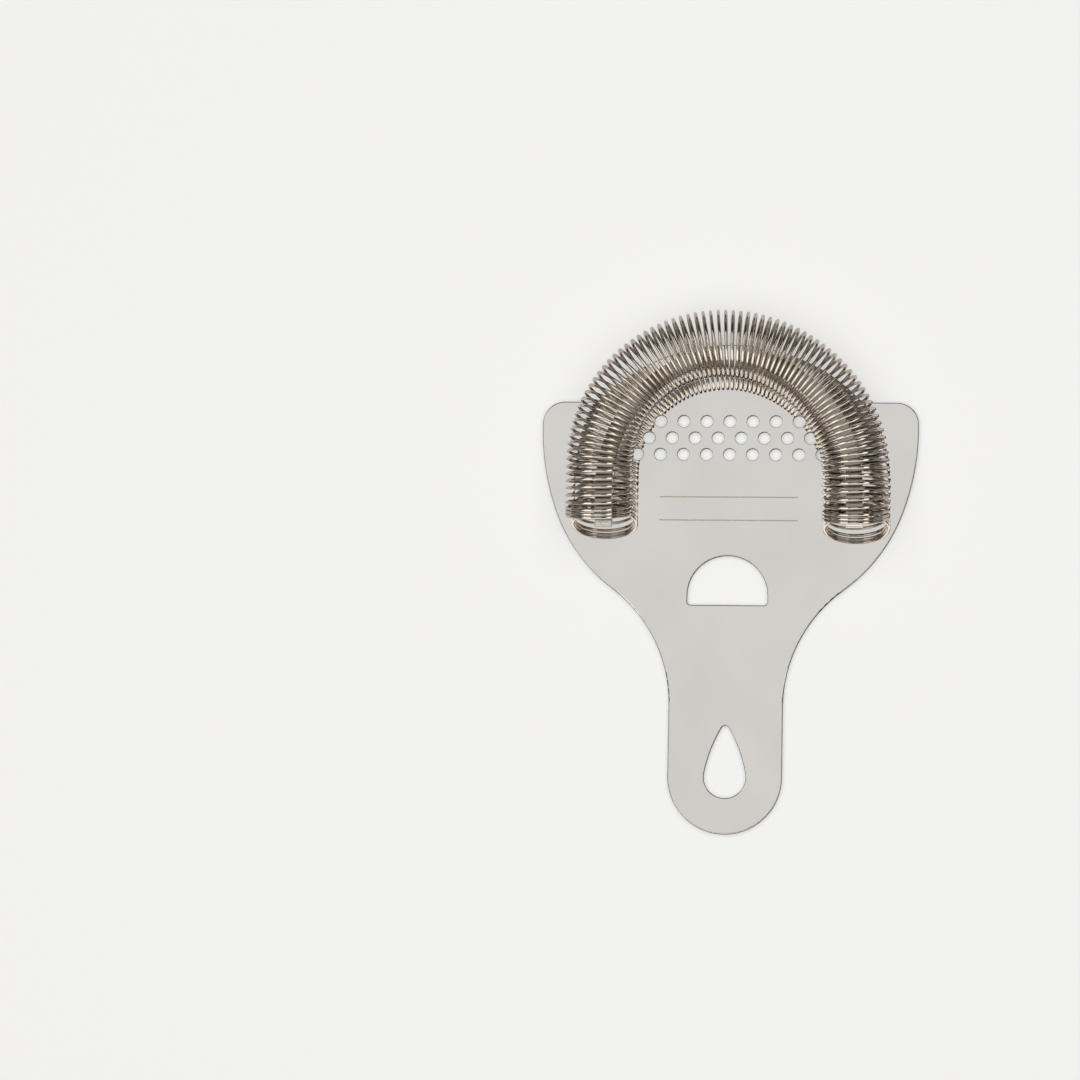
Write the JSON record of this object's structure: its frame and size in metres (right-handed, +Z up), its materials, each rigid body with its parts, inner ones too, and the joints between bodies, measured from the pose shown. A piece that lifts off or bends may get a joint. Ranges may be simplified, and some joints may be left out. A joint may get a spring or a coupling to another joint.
{
  "type": "hawthorne strainer",
  "caption": "Flat bar strainer: a polished steel plate with two ears, drain holes, a thumb hole and a flat handle, holding a U-shaped coil of spring wire.",
  "frame": {"origin": "middle of the footprint, on the plate's smooth back, with the part lying on its back", "axes": "+Y to the front, where the coil stands past the plate, -Y to the handle's end, +X to the right ear seen from the coil's side, +Z up through the coil"},
  "size_m": [0.106, 0.1462, 0.0206],
  "materials": {
    "polished_plate": "mirror polished stainless steel",
    "spring_wire": "bright drawn stainless spring wire"
  },
  "bodies": {
    "plate": {"strainer_plate": "polished_plate"},
    "spring": {"coil_spring": "spring_wire"}
  },
  "joints": [
    {"name": "spring_pull_off", "type": "slide", "parent": "plate", "child": "spring", "axis": [0, 1, 0], "range_m": [0, 0.06], "deforming": ["coil_spring"]}
  ]
}
